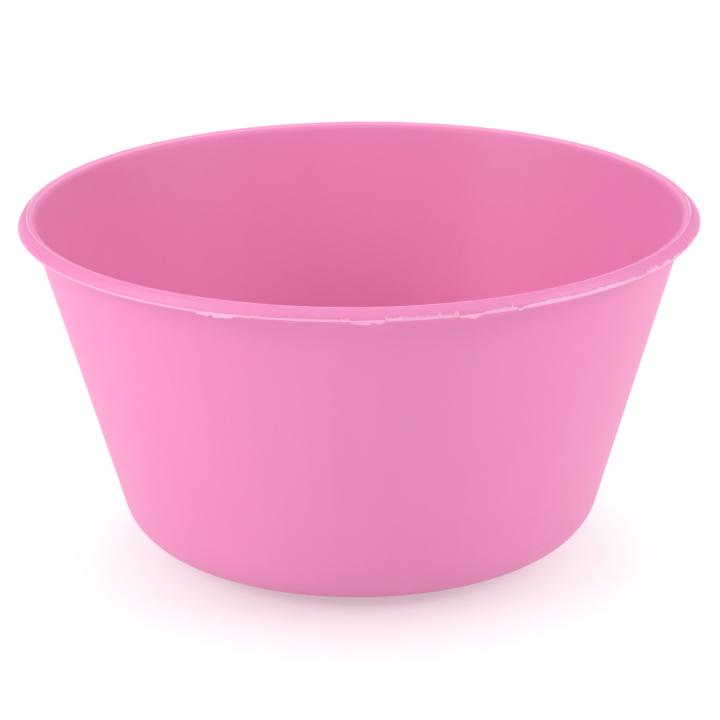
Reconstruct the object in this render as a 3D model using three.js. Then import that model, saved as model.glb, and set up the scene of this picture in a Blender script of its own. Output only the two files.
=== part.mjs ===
import * as THREE from 'three';

// Round tapered tub for mixing mortar by hand: one moulding of soft plastic with an outward lip.
// Millimetres, +Z up. The origin is the centre of the base, at ground level.

// Driving dimensions: the tub
const WIDEST_DIAMETER = 400;       // across the rim, over the moulding flash
const HEIGHT = 199.5;              // ground to the ridge on top of the lip
const BASE_CORNER_RADIUS = 135.5;  // where the straight outer wall would meet the ground
const WALL_TAPER = THREE.MathUtils.degToRad(16.2);  // lean of the wall from the vertical
const WALL = 3.5;                  // thickness of the wall, square to its face
const FLOOR = 4.5;                 // thickness of the floor over the ring that it stands on
const BASE_ROUND = 31;             // outer radius between the wall and the base
const RECESS_RADIUS = 98;          // hollowed middle of the underside
const RECESS_DEPTH = 1.5;
const GATE_RADIUS = 4;             // stub left at the centre where the plastic entered the mould
const GATE_HEIGHT = 1;

// Driving dimensions: the lip and its flash
const FLASH_REACH = 0.8;           // how far the flash stands out of the lip
const FLASH_THICKNESS = 0.6;
const FLASH_SAG = 1.5;             // how far its free edge curls down
const LIP_FACE_WIDTH = 5;          // sloping outer face, from the ridge out to the lip's edge
const LIP_FACE_DROP = 6;           // the same face, from the ridge down to the flash
const SHOULDER_INSET = 1;          // the face is bent round a shoulder, so that it bows out a little:
const SHOULDER_DROP = 1.7;         // this far in from the lip's edge and down from the ridge
const SHOULDER_ROUND = 7.8;
const LIP_EDGE = 2;                // upright edge of the lip below its sloping face
const RIDGE = 0.5;                 // height of the moulded ridge over the ledge inside it
const LEDGE_FALL = 1.2;            // how far the ledge slopes down towards the inside
const INNER_ROUND = 4.5;           // between the ledge and the inner wall
const UNDERCUT_ROUND = 1.2;        // where the lip's underside meets the wall, and at its edge

const SEGMENTS = 96;               // facets around every ring

// Turns a corner list into lathe points. A corner with a round gets an arc tangent to both of its sides.
function profile(corners) {
  const points = [];
  corners.forEach(({ r, z, round = 0, steps = 3 }, index) => {
    const corner = new THREE.Vector2(r, z);
    if (round === 0) {
      points.push(corner);
      return;
    }
    const before = corners[index - 1];
    const after = corners[index + 1];
    const toBefore = new THREE.Vector2(before.r - r, before.z - z).normalize();
    const toAfter = new THREE.Vector2(after.r - r, after.z - z).normalize();
    const halfAngle = Math.acos(toBefore.dot(toAfter)) / 2;
    const middle = toBefore.clone().add(toAfter).normalize();
    const centre = corner.clone().addScaledVector(middle, round / Math.sin(halfAngle));
    const tangent = round / Math.tan(halfAngle);
    const start = corner.clone().addScaledVector(toBefore, tangent).sub(centre);
    const end = corner.clone().addScaledVector(toAfter, tangent).sub(centre);
    const turn = Math.atan2(start.cross(end), start.dot(end));
    for (let step = 0; step <= steps; step += 1) {
      const spoke = start.clone().rotateAround(new THREE.Vector2(0, 0), turn * step / steps);
      points.push(centre.clone().add(spoke));
    }
  });
  return points;
}

// A ring or bowl turned about +Z, named and coloured.
function turned(name, points, colour, roughness) {
  const geometry = new THREE.LatheGeometry(points, SEGMENTS);
  geometry.rotateX(Math.PI / 2);
  const material = new THREE.MeshStandardMaterial({ color: colour, roughness, metalness: 0 });
  const mesh = new THREE.Mesh(geometry, material);
  mesh.name = name;
  return mesh;
}

// Sizes that follow from the driving dimensions
const LIP_RADIUS = WIDEST_DIAMETER / 2 - FLASH_REACH;
const RIDGE_RADIUS = LIP_RADIUS - LIP_FACE_WIDTH;
const FLASH_TOP = HEIGHT - LIP_FACE_DROP;
const FLASH_FOOT = FLASH_TOP - FLASH_THICKNESS;
const LIP_UNDERSIDE = FLASH_TOP - LIP_EDGE;
const LEDGE = HEIGHT - RIDGE;
const outerWall = (z) => BASE_CORNER_RADIUS + z * Math.tan(WALL_TAPER);
const innerWall = (z) => outerWall(z) - WALL / Math.cos(WALL_TAPER);

// The whole tub in one closed outline: up the outside, over the lip and down the inside.
function tub() {
  const outline = profile([
    { r: 0, z: RECESS_DEPTH - GATE_HEIGHT },
    { r: GATE_RADIUS, z: RECESS_DEPTH - GATE_HEIGHT },
    { r: GATE_RADIUS, z: RECESS_DEPTH },
    { r: RECESS_RADIUS - RECESS_DEPTH, z: RECESS_DEPTH },
    { r: RECESS_RADIUS, z: 0 },
    { r: BASE_CORNER_RADIUS, z: 0, round: BASE_ROUND, steps: 7 },
    { r: outerWall(LIP_UNDERSIDE), z: LIP_UNDERSIDE, round: UNDERCUT_ROUND, steps: 2 },
    { r: LIP_RADIUS, z: LIP_UNDERSIDE, round: UNDERCUT_ROUND },
    { r: LIP_RADIUS, z: FLASH_FOOT },
    { r: LIP_RADIUS, z: FLASH_TOP },
    { r: LIP_RADIUS - SHOULDER_INSET, z: HEIGHT - SHOULDER_DROP, round: SHOULDER_ROUND },
    { r: RIDGE_RADIUS, z: HEIGHT },
    { r: RIDGE_RADIUS - RIDGE, z: LEDGE },
    { r: innerWall(LEDGE - LEDGE_FALL), z: LEDGE - LEDGE_FALL, round: INNER_ROUND, steps: 4 },
    { r: innerWall(FLOOR), z: FLOOR, round: BASE_ROUND - WALL, steps: 7 },
    { r: 0, z: FLOOR },
  ]);
  return turned('tub', outline, 0xee93c2, 0.5);
}

// Thin waste squeezed out where the mould halves part. It hangs from the edge of the lip.
function rimFlash() {
  const tip = WIDEST_DIAMETER / 2;
  const outline = profile([
    { r: LIP_RADIUS, z: FLASH_FOOT },
    { r: tip - FLASH_THICKNESS / 2, z: FLASH_FOOT - FLASH_SAG },
    { r: tip, z: FLASH_TOP - FLASH_SAG },
    { r: LIP_RADIUS, z: FLASH_TOP },
    { r: LIP_RADIUS, z: FLASH_FOOT },
  ]);
  return turned('rim_flash', outline, 0xfbc4dc, 0.55);
}

const model = new THREE.Group();
model.add(tub());
model.add(rimFlash());
export default model;
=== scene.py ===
import math
import random

import bmesh
import bpy
from mathutils import Matrix, Vector, noise


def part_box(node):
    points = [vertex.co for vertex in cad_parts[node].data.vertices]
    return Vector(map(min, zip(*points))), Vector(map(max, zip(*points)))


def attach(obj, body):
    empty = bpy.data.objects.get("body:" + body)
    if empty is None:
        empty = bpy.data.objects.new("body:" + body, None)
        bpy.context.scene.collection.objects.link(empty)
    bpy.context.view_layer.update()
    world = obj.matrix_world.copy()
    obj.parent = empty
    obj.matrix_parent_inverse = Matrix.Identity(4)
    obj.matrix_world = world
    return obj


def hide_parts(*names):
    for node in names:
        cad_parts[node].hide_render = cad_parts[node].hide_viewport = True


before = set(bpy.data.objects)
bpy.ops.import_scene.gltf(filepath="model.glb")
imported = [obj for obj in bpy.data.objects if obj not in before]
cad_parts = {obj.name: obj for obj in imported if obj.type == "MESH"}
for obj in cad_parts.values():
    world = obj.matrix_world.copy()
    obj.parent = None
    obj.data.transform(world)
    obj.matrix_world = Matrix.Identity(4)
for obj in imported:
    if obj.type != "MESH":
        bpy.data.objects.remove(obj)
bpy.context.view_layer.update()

MM = 0.001


# --- The tub -----------------------------------------------------------------------------------
# Floor, tapered wall and outward lip in one injection moulding of soft low-density polyethylene.
# It leaves the mould through the top, so every face tapers, and the moulding halves part at the
# edge of the lip. Nothing is fixed to it.

tub_low, tub_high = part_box("tub")
HEIGHT = tub_high.z
LIP_RADIUS = tub_high.x
BASE_CORNER_RADIUS = 135.5 * MM     # where the straight outer wall would meet the ground
WALL_TAPER = math.radians(16.2)
WALL = 3.5 * MM
FLOOR = 4.5 * MM
BASE_ROUND = 31 * MM
RECESS_RADIUS = 98 * MM             # hollowed middle of the underside
RECESS_DEPTH = 1.5 * MM
GATE_RADIUS = 4 * MM                # stub where the plastic entered the mould
GATE_HEIGHT = 1 * MM
LIP_FACE_WIDTH = 5 * MM             # sloping outer face, from the ridge out to the lip's edge
LIP_FACE_DROP = 6 * MM              # the same face, from the ridge down to where the mould parts
SHOULDER_INSET = 1 * MM             # the face is bent round a shoulder, so that it bows out a little
SHOULDER_DROP = 1.7 * MM
SHOULDER_ROUND = 7.8 * MM
LIP_EDGE = 2 * MM                   # upright edge of the lip below its sloping face
RIDGE = 0.5 * MM                    # fine ridge where two rings of the mould meet
RIDGE_WIDTH = 1.1 * MM
LEDGE_FALL = 1.2 * MM               # the ledge slopes down from the ridge towards the inside
INNER_ROUND = 4.5 * MM
AROUND = 288                        # faces around every ring
LONGEST_STEP = 9 * MM               # longest face up the wall, so that the wall can be bent a little
HOLLOW = 0.15 * MM                  # how far the wall is drawn in at half height
SWAY = 0.3 * MM                     # how far the rim is out of round
TILT = 0.35 * MM                    # how much higher the rim is at -Y, and lower at +Y
DIP = 0.15 * MM                     # how far it waves up and down besides

RIDGE_RADIUS = LIP_RADIUS - LIP_FACE_WIDTH
PARTING_HEIGHT = HEIGHT - LIP_FACE_DROP
LIP_UNDERSIDE = PARTING_HEIGHT - LIP_EDGE
LEDGE = HEIGHT - RIDGE


def outer_wall(height):
    return BASE_CORNER_RADIUS + height * math.tan(WALL_TAPER)


def inner_wall(height):
    return outer_wall(height) - WALL / math.cos(WALL_TAPER)


def add_outline(bm, corners):
    """A chain of edges through (radius, height, round, segments) corners, with the rounds bevelled in."""
    chain = [bm.verts.new((radius, 0, height)) for radius, height, _, _ in corners]
    for start, end in zip(chain, chain[1:]):
        bm.edges.new((start, end))
    points = [Vector((radius, 0, height)) for radius, height, _, _ in corners]
    for index, (_, _, rounding, segments) in enumerate(corners):
        if rounding:
            before = points[index - 1] - points[index]
            after = points[index + 1] - points[index]
            tangent = rounding / math.tan(before.angle(after) / 2)
            bmesh.ops.bevel(bm, geom=[chain[index]], offset=tangent, offset_type="OFFSET",
                            segments=segments, profile=0.5, affect="VERTICES", material=-1)
    for edge in list(bm.edges):
        cuts = int(edge.calc_length() / LONGEST_STEP)
        if cuts:
            bmesh.ops.subdivide_edges(bm, edges=[edge], cuts=cuts)


def spin_whole(bm, steps):
    """Turns everything in bm once round the tub's axis and closes the seam and the poles."""
    bmesh.ops.spin(bm, geom=bm.verts[:] + bm.edges[:], cent=(0, 0, 0), axis=(0, 0, 1),
                   angle=math.tau, steps=steps, use_merge=True)
    bmesh.ops.remove_doubles(bm, verts=bm.verts, dist=0.01 * MM)
    bmesh.ops.dissolve_degenerate(bm, edges=bm.edges, dist=0.001 * MM)
    bmesh.ops.recalc_face_normals(bm, faces=bm.faces)


def bearing(point):
    """Angle round the tub in degrees: 0 at -Y, growing towards +X."""
    return math.degrees(math.atan2(point.x, -point.y))


def ring_noise(degrees, wavelength, radius, seed):
    """Smooth noise round a ring, about -1 to 1, that joins up with itself after one turn."""
    turn = math.radians(degrees)
    reach = radius / wavelength
    return noise.noise(Vector((reach * math.cos(turn), reach * math.sin(turn), seed)))


def settle(point):
    """Moves a point as the real moulding does when it cools: a faintly hollow wall and an uneven rim."""
    radius = math.hypot(point.x, point.y)
    if radius < MM:
        return
    up = point.z / HEIGHT
    degrees = bearing(point)
    hollow = HOLLOW * 4 * up * (1 - up)
    sway = SWAY * up * up * ring_noise(degrees, 150 * MM, LIP_RADIUS, 3.1)
    lift = TILT * math.cos(math.radians(degrees)) + DIP * ring_noise(degrees, 120 * MM, LIP_RADIUS, 7.7)
    grown = 1 + (sway - hollow) / radius
    point.x *= grown
    point.y *= grown
    point.z += lift * up ** 4


def add_piece(bm, name):
    """A smooth-shaded object from bm, which is freed."""
    mesh = bpy.data.meshes.new(name)
    bm.to_mesh(mesh)
    bm.free()
    mesh.shade_smooth()
    piece = bpy.data.objects.new(name, mesh)
    bpy.context.scene.collection.objects.link(piece)
    return piece


tub_mesh = bmesh.new()
add_outline(tub_mesh, [
    (0, RECESS_DEPTH - GATE_HEIGHT, 0, 0),
    (GATE_RADIUS, RECESS_DEPTH - GATE_HEIGHT, 0.4 * MM, 3),
    (GATE_RADIUS + 0.4 * MM, RECESS_DEPTH, 0.3 * MM, 3),
    (RECESS_RADIUS - RECESS_DEPTH, RECESS_DEPTH, 0.8 * MM, 3),
    (RECESS_RADIUS, 0, 0.8 * MM, 3),
    (BASE_CORNER_RADIUS, 0, BASE_ROUND, 12),
    (outer_wall(LIP_UNDERSIDE), LIP_UNDERSIDE, 1.5 * MM, 4),
    (LIP_RADIUS, LIP_UNDERSIDE, 1.3 * MM, 5),
    (LIP_RADIUS, PARTING_HEIGHT, 0.3 * MM, 2),
    (LIP_RADIUS - SHOULDER_INSET, HEIGHT - SHOULDER_DROP, SHOULDER_ROUND, 10),
    (RIDGE_RADIUS, HEIGHT, 0.3 * MM, 5),
    (RIDGE_RADIUS - RIDGE_WIDTH / 2, LEDGE - 0.1 * MM, 0.2 * MM, 2),
    (inner_wall(LEDGE - LEDGE_FALL), LEDGE - LEDGE_FALL, INNER_ROUND, 8),
    (inner_wall(FLOOR), FLOOR, BASE_ROUND - WALL, 12),
    (0, FLOOR, 0, 0),
])
spin_whole(tub_mesh, AROUND)
HIGHLIGHT_WIDTH = 0.3 * MM             # to each side of the ridge's top
# Painted highlight: the top of the ridge is marked for a paler pink, with an uneven strength round the
# ring, to stand in for the light line it catches.
ridge_highlight = tub_mesh.verts.layers.float.new("ridge_highlight")
for vertex in tub_mesh.verts:
    radius = math.hypot(vertex.co.x, vertex.co.y)
    if abs(radius - RIDGE_RADIUS) < HIGHLIGHT_WIDTH and vertex.co.z > LEDGE:
        vertex[ridge_highlight] = 0.7 + 0.5 * ring_noise(bearing(vertex.co), 12 * MM, RIDGE_RADIUS, 6.4)
    settle(vertex.co)
tub = add_piece(tub_mesh, "moulded_tub")


def linear(colour):
    """An sRGB hex colour as the linear RGBA that a shader takes."""
    channels = [int(colour[place:place + 2], 16) / 255 for place in (1, 3, 5)]
    return [c / 12.92 if c < 0.04045 else ((c + 0.055) / 1.055) ** 2.4 for c in channels] + [1]


def add_node(tree, kind, settings=None, links=None):
    """Adds a node. Settings name its properties or its inputs, and links join outputs to its inputs."""
    made = tree.nodes.new(kind)
    for name, value in (settings or {}).items():
        if isinstance(name, int) or name in made.inputs:
            made.inputs[name].default_value = value
        else:
            setattr(made, name, value)
    for name, source in (links or {}).items():
        tree.links.new(source, made.inputs[name])
    return made


def new_material(name):
    material = bpy.data.materials.new(name)
    material.use_nodes = True
    material.node_tree.nodes.clear()
    return material, material.node_tree


# Soft polyethylene moulded against a spark-eroded steel mould: an even satin pink with a very fine
# grain, and faint upright flow marks where the plastic ran from the gate out to the lip. A paler pink
# is painted along the ridge as a highlight, so it shows as a fine light line.
PINK = "#e688ba"
PINK_DEEP = "#e586b8"
# The next colour is a paler pink, painted along the ridge's top as a highlight.
PINK_HIGHLIGHT = "#fcd2e6"
GRAIN = 0.9 * MM                    # the real grain is 0.1 mm; this is as fine as can be seen
FLOW_MARK = 14 * MM                 # from one upright flow mark to the next
CLOUD = 55 * MM                     # size of the slow changes in shade and gloss
tub_plastic, tree = new_material("ldpe_moulded_spark_eroded")
place = add_node(tree, "ShaderNodeTexCoord").outputs["Object"]
flat_place = add_node(tree, "ShaderNodeVectorMath", {"operation": "MULTIPLY", 1: (1, 1, 0)}, {0: place})
outward = add_node(tree, "ShaderNodeVectorMath", {"operation": "NORMALIZE"}, {0: flat_place.outputs[0]})
around = add_node(tree, "ShaderNodeVectorMath", {"operation": "SCALE", "Scale": LIP_RADIUS},
                  {0: outward.outputs[0]})
upward = add_node(tree, "ShaderNodeVectorMath", {"operation": "MULTIPLY", 1: (0, 0, 0.08)}, {0: place})
flow_place = add_node(tree, "ShaderNodeVectorMath", {"operation": "ADD"},
                      {0: around.outputs[0], 1: upward.outputs[0]})
flow = add_node(tree, "ShaderNodeTexNoise", {"Scale": 1 / FLOW_MARK, "Detail": 2, "Roughness": 0.4},
                {"Vector": flow_place.outputs[0]})
cloud = add_node(tree, "ShaderNodeTexNoise", {"Scale": 1 / CLOUD, "Detail": 2}, {"Vector": place})
blend = add_node(tree, "ShaderNodeMath", {"operation": "ADD"}, {0: flow.outputs[0], 1: cloud.outputs[0]})
amount = add_node(tree, "ShaderNodeMapRange", {"From Min": 0.75, "From Max": 1.25},
                  {"Value": blend.outputs[0]})
colour = add_node(tree, "ShaderNodeMix", {"data_type": "RGBA", 6: linear(PINK), 7: linear(PINK_DEEP)},
                  {0: amount.outputs[0]})
# Painted highlight: paler pink is mixed into the colour along the ridge's top.
highlight_mask = add_node(tree, "ShaderNodeAttribute", {"attribute_name": "ridge_highlight"})
highlighted = add_node(tree, "ShaderNodeMix", {"data_type": "RGBA", 7: linear(PINK_HIGHLIGHT)},
                {0: highlight_mask.outputs["Fac"], 6: colour.outputs[2]})
grain = add_node(tree, "ShaderNodeTexNoise", {"Scale": 1 / GRAIN, "Detail": 1}, {"Vector": place})
bump = add_node(tree, "ShaderNodeBump", {"Strength": 0.12, "Distance": 0.05 * MM},
                {"Height": grain.outputs[0]})
rough = add_node(tree, "ShaderNodeMapRange", {"To Min": 0.42, "To Max": 0.5}, {"Value": cloud.outputs[0]})
surface = add_node(
    tree, "ShaderNodeBsdfPrincipled",
    {"IOR": 1.51, "Specular IOR Level": 0.4, "Subsurface Weight": 0.15,
     "Subsurface Radius": (1, 0.35, 0.6), "Subsurface Scale": 3 * MM},
    {"Base Color": highlighted.outputs[2], "Roughness": rough.outputs[0], "Normal": bump.outputs[0]})
add_node(tree, "ShaderNodeOutputMaterial", links={"Surface": surface.outputs[0]})
tub.data.materials.append(tub_plastic)

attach(tub, "root")
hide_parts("tub")


# --- The flash on the rim ------------------------------------------------------------------------
# Waste that was squeezed out between the moulding halves at the edge of the lip and torn rather than
# trimmed: a thin bead all round, with a ragged blade that is folded up in places and hangs in others.

BEAD_RADIUS = 0.55 * MM
BLADE_THICKNESS = 0.35 * MM
FLASH_STEPS = 2400                  # half a millimetre apart round the rim
FLASH_SIDES = 12
REST_LEAN = 12                      # degrees above level where there is only the bead
UP = 108                            # lean of a blade folded up against the lip's face
DOWN = -80                          # lean of one that hangs
OUT = 25                            # lean of one that stands out
REST_WHITENING = 0.75               # where nothing is torn
BEAD_WHITENING = 0.85

# Torn stretches: (start, end, reach at start, reach at end, lean, whitening). The places are in degrees
# round the tub, the reach is in millimetres, and the whitening goes from 0, clear, to 1, white.
TORN = [
    (-48.6, -47.4, 0.5, 0.8, UP, 0.8),
    (-26.2, -23.9, 1.0, 1.7, DOWN, 0.9),
    (-23.9, -23.3, 0.7, 0.7, DOWN, 0.9),
    (-23.3, -19.8, 1.7, 1.2, DOWN, 0.9),
    (-17.2, -15.6, 0.9, 0.7, UP, 0.5),
    (-13.5, -3.2, 0.3, 0.7, UP, 0.4),
    (-2.9, -1.6, 1.7, 1.6, UP, 0.3),
    (-1.3, 1.7, 1.3, 1.7, DOWN, 0.4),
    (1.7, 2.7, 0.5, 0.9, DOWN, 0.5),
    (2.7, 3.9, 1.6, 0.9, DOWN, 0.4),
    (4.0, 4.6, 2.1, 1.4, UP, 0.9),
    (4.6, 6.1, 1.0, 1.1, UP, 0.4),
    (6.1, 6.5, 1.7, 1.7, UP, 0.6),
    (6.5, 12.2, 1.4, 1.5, UP, 0.3),
    (12.2, 12.7, 2.1, 2.0, UP, 0.6),
    (12.7, 14.9, 1.3, 1.5, UP, 0.3),
    (14.9, 15.5, 2.7, 2.8, UP, 0.5),
    (15.7, 16.9, 0.6, 1.2, DOWN, 0.7),
    (16.9, 18.3, 1.3, 2.0, DOWN, 0.8),
    (18.3, 19.4, 1.2, 0.2, DOWN, 0.7),
    (19.8, 24.3, 1.0, 1.5, UP, 0.6),
    (24.3, 25.2, 2.5, 2.1, UP, 0.6),
    (25.4, 26.2, 0.6, 0.6, DOWN, 0.9),
    (26.5, 32.0, 1.0, 1.5, UP, 0.9),
    (32.0, 41.0, 1.5, 1.2, UP, 0.8),
    (41.0, 50.2, 1.5, 0.9, UP, 0.9),
    (53.2, 56.9, 1.3, 1.7, UP, 0.8),
    (58.4, 61.2, 0.9, 1.5, UP, 0.8),
    (62.6, 67.5, 1.2, 0.6, UP, 0.7),
    (76.0, 100.0, 0.6, 1.0, OUT, 0.5),
]
RAMP = 0.22                         # degrees over which one stretch gives way to the next

# The far side is torn as well, at random places.
chance = random.Random(12)
start = 106.0
while start < 262:
    length = chance.uniform(0.8, 8.0)
    reach = chance.uniform(0.6, 2.3)
    lean = chance.choice((UP, UP, DOWN, OUT))
    TORN.append((start, start + length, reach, reach * chance.uniform(0.5, 1.2), lean,
                 chance.uniform(0.4, 1.0)))
    start += length + chance.uniform(0.3, 12.0)


def step_between(value, low, high):
    """0 below low, 1 above high and smooth between them."""
    share = min(max((value - low) / (high - low), 0), 1)
    return share * share * (3 - 2 * share)


def torn_edge(degrees):
    """How far the blade reaches at this bearing, in millimetres, its lean in degrees and its whitening."""
    reach = 0.0
    lean = REST_LEAN
    white = REST_WHITENING
    for start, end, first, last, stretch_lean, whitening in TORN:
        offset = (degrees - start + 180) % 360 - 180
        length = end - start
        if -RAMP < offset < length + RAMP:
            share = step_between(offset, -RAMP / 2, RAMP / 2)
            share *= 1 - step_between(offset, length - RAMP / 2, length + RAMP / 2)
            along = min(max(offset / length, 0), 1)
            reach += share * (first + (last - first) * along)
            lean += share * (stretch_lean - REST_LEAN)
            white += share * (whitening - white)
    tooth = ring_noise(degrees, 2.2 * MM, LIP_RADIUS, 1.7)
    tooth += 0.5 * ring_noise(degrees, 0.8 * MM, LIP_RADIUS, 4.4)
    wave = ring_noise(degrees, 7 * MM, LIP_RADIUS, 5.2)
    reach *= 1 + 0.35 * tooth + 0.3 * wave
    lean += 14 * wave
    return reach, lean, white


torn_edges = [torn_edge(360 * step / FLASH_STEPS) for step in range(FLASH_STEPS)]
beads = [BEAD_RADIUS * (1 + 0.22 * ring_noise(360 * step / FLASH_STEPS, 3 * MM, LIP_RADIUS, 9.3))
         for step in range(FLASH_STEPS)]
flash_mesh = bmesh.new()
bmesh.ops.create_circle(flash_mesh, segments=FLASH_SIDES, radius=BEAD_RADIUS,
                        matrix=Matrix.Translation((LIP_RADIUS, 0, PARTING_HEIGHT))
                        @ Matrix.Rotation(math.pi / 2, 4, "X"))
spin_whole(flash_mesh, FLASH_STEPS)
whitening = flash_mesh.verts.layers.float.new("whitening")
for vertex in flash_mesh.verts:
    degrees = bearing(vertex.co)
    step = round(degrees / 360 * FLASH_STEPS) % FLASH_STEPS
    reach, lean, white = torn_edges[step]
    bead = beads[step]
    radius = math.hypot(vertex.co.x, vertex.co.y)
    spoke = Vector((vertex.co.x / radius, vertex.co.y / radius, 0))
    side = math.atan2(vertex.co.z - PARTING_HEIGHT, radius - LIP_RADIUS)
    blade = BLADE_THICKNESS / 2 * (1 + 0.6 * ring_noise(degrees, 1.2 * MM, LIP_RADIUS, 2.9))
    along = (1 + math.cos(side)) / 2 * (reach * MM + 1.4 * bead)
    torn = step_between(along, bead, 2.2 * bead)
    thick = bead + (blade - bead) * torn
    across = math.sin(side) * thick
    forward = Vector((math.cos(math.radians(lean)), math.sin(math.radians(lean))))
    square = Vector((-forward.y, forward.x))
    local = forward * (along - 0.7 * bead) + square * across
    vertex.co = spoke * (LIP_RADIUS + 0.1 * MM + local.x)
    vertex.co.z = PARTING_HEIGHT - 0.3 * MM + local.y
    vertex[whitening] = white + (BEAD_WHITENING - white) * (1 - torn)
    settle(vertex.co)
bmesh.ops.recalc_face_normals(flash_mesh, faces=flash_mesh.faces)
flash = add_piece(flash_mesh, "torn_flash")

# The same polyethylene, drawn thin and torn: paler where it was stretched, and rough.
FLASH_PINK = "#ec95c0"
FLASH_WHITE = "#fab6d8"
FLECK = 1.4 * MM                    # torn fibres, drawn coarse enough to be seen
flash_plastic, tree = new_material("ldpe_torn_flash")
place = add_node(tree, "ShaderNodeTexCoord").outputs["Object"]
stretched = add_node(tree, "ShaderNodeAttribute", {"attribute_name": "whitening"})
fleck = add_node(tree, "ShaderNodeTexNoise", {"Scale": 1 / FLECK, "Detail": 3}, {"Vector": place})
paler = add_node(tree, "ShaderNodeMath", {"operation": "MULTIPLY_ADD", 1: 0.5, 2: -0.25},
                 {0: fleck.outputs[0]})
amount = add_node(tree, "ShaderNodeMath", {"operation": "ADD", "use_clamp": True},
                  {0: stretched.outputs["Fac"], 1: paler.outputs[0]})
colour = add_node(tree, "ShaderNodeMix",
                  {"data_type": "RGBA", 6: linear(FLASH_PINK), 7: linear(FLASH_WHITE)},
                  {0: amount.outputs[0]})
bump = add_node(tree, "ShaderNodeBump", {"Strength": 0.5, "Distance": 0.2 * MM},
                {"Height": fleck.outputs[0]})
surface = add_node(
    tree, "ShaderNodeBsdfPrincipled",
    {"IOR": 1.51, "Roughness": 0.5, "Subsurface Weight": 0.4, "Subsurface Radius": (1, 0.5, 0.75),
     "Subsurface Scale": 1.5 * MM},
    {"Base Color": colour.outputs[2], "Normal": bump.outputs[0]})
add_node(tree, "ShaderNodeOutputMaterial", links={"Surface": surface.outputs[0]})
flash.data.materials.append(flash_plastic)

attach(flash, "root")
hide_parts("rim_flash")


# --- The studio ----------------------------------------------------------------------------------
# A table of white acrylic, lit from below, so that nothing casts a shadow on it. It is polished where
# the tub stands and in front of it, and matt elsewhere.

TABLE_RADIUS = 12.0
TABLE_GAP = 0.1 * MM                # below the tub, so that their faces don't coincide
POLISH_MIDDLE = 55 * MM             # this far in front of the tub's axis
POLISH_START = 70 * MM              # full polish out to here from its middle
POLISH_END = 228 * MM               # and none from here
POLISH_SQUEEZE = 1.05               # the polish ends this much sooner to the left and right
POLISH_SHARE = 0.52                 # how much of the light it gives is a reflection
GLOW = 0.74                         # light of the matt table, out to NEAR
FAR_GLOW = 1.0                      # and from FAR, where the softboxes hardly reach
NEAR = 1.0
FAR = 3.0
table_mesh = bmesh.new()
bmesh.ops.create_circle(table_mesh, cap_ends=True, segments=96, radius=TABLE_RADIUS,
                        matrix=Matrix.Translation((0, 0, -TABLE_GAP)))
table = add_piece(table_mesh, "table_top")
white_acrylic, tree = new_material("white_acrylic_lit_from_below")
place = add_node(tree, "ShaderNodeTexCoord").outputs["Object"]
offset = add_node(tree, "ShaderNodeVectorMath",
                  {"operation": "MULTIPLY_ADD", 1: (POLISH_SQUEEZE, 1, 1), 2: (0, POLISH_MIDDLE, 0)},
                  {0: place})
reach = add_node(tree, "ShaderNodeVectorMath", {"operation": "LENGTH"}, {0: offset.outputs[0]})
fade = add_node(tree, "ShaderNodeMapRange", {"From Min": POLISH_END, "From Max": POLISH_START},
                {"Value": reach.outputs["Value"]})
polish = add_node(tree, "ShaderNodeMath", {"operation": "MULTIPLY"},
                  {0: fade.outputs[0], 1: fade.outputs[0]})
share = add_node(tree, "ShaderNodeMath", {"operation": "MULTIPLY", 1: POLISH_SHARE},
                 {0: polish.outputs[0]})
matt = add_node(tree, "ShaderNodeBsdfDiffuse", {"Color": (0.35, 0.35, 0.35, 1)})
strength = add_node(tree, "ShaderNodeMapRange",
                    {"From Min": NEAR, "From Max": FAR, "To Min": GLOW, "To Max": FAR_GLOW},
                    {"Value": reach.outputs["Value"]})
glow = add_node(tree, "ShaderNodeEmission", links={"Strength": strength.outputs[0]})
lit = add_node(tree, "ShaderNodeAddShader", links={0: matt.outputs[0], 1: glow.outputs[0]})
gloss = add_node(tree, "ShaderNodeBsdfGlossy", {"Roughness": 0.11})
mixed = add_node(tree, "ShaderNodeMixShader",
                 links={0: share.outputs[0], 1: lit.outputs[0], 2: gloss.outputs[0]})
add_node(tree, "ShaderNodeOutputMaterial", links={"Surface": mixed.outputs[0]})
table.data.materials.append(white_acrylic)

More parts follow.
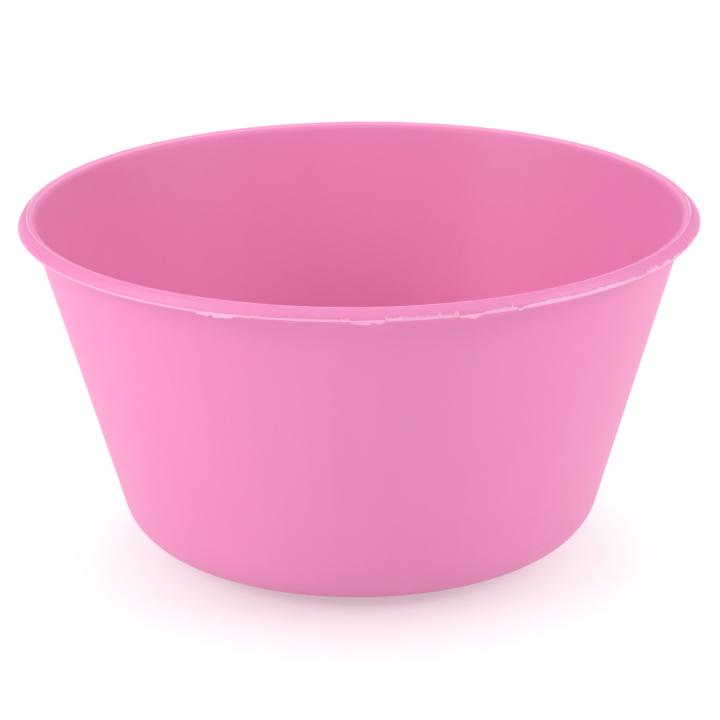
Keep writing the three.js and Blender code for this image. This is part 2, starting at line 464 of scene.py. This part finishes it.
ROOM_LIGHT = 0.23
world = bpy.data.worlds.new("white_room")
world.use_nodes = True
world.node_tree.nodes["Background"].inputs["Color"].default_value = (1, 1, 1, 1)
world.node_tree.nodes["Background"].inputs["Strength"].default_value = ROOM_LIGHT
bpy.context.scene.world = world


def add_softbox(name, direction, distance, size, power):
    """A square area light, aimed at the tub from a direction (bearing, elevation) in degrees."""
    turn, rise = (math.radians(angle) for angle in direction)
    aim = Vector((0, 0, HEIGHT / 2))
    offset = Vector((math.sin(turn) * math.cos(rise), -math.cos(turn) * math.cos(rise), math.sin(rise)))
    light = bpy.data.lights.new(name, "AREA")
    light.size = size
    light.energy = power
    softbox = bpy.data.objects.new(name, light)
    softbox.location = aim + offset * distance
    softbox.rotation_euler = offset.to_track_quat("Z", "Y").to_euler()
    bpy.context.scene.collection.objects.link(softbox)
    return softbox


add_softbox("left_softbox", (-70, 35), 2.2, 1.2, 24)
add_softbox("left_low_softbox", (-55, 8), 2.2, 1.0, 6.5)
add_softbox("right_softbox", (80, 35), 2.4, 1.0, 23)
add_softbox("right_low_softbox", (60, 8), 2.4, 1.0, 6)
add_softbox("front_softbox", (0, 30), 2.6, 1.2, 1.0)
add_softbox("front_top_softbox", (0, 60), 2.4, 1.4, 13)
add_softbox("back_softbox", (180, 45), 2.6, 1.6, 27)

CAMERA_RISE = math.radians(18.98)
CAMERA_DISTANCE = 2034 * MM
CAMERA_ROLL = math.radians(-0.48)
CAMERA_LENS = 170.3
middle = Vector((0, 0, 99.5 * MM))              # the camera's place is measured from here
aim = middle + Vector((0.1 * MM, 0, 4.1 * MM))
camera_data = bpy.data.cameras.new("camera")
camera_data.sensor_width = 36
camera_data.lens = CAMERA_LENS
camera = bpy.data.objects.new("camera", camera_data)
camera.location = middle + CAMERA_DISTANCE * Vector((0, -math.cos(CAMERA_RISE), math.sin(CAMERA_RISE)))
looking = (aim - camera.location).to_track_quat("-Z", "Y").to_matrix().to_4x4()
camera.rotation_euler = (looking @ Matrix.Rotation(CAMERA_ROLL, 4, "Z")).to_euler()
bpy.context.scene.collection.objects.link(camera)
bpy.context.scene.camera = camera
bpy.context.scene.view_settings.view_transform = "Standard"
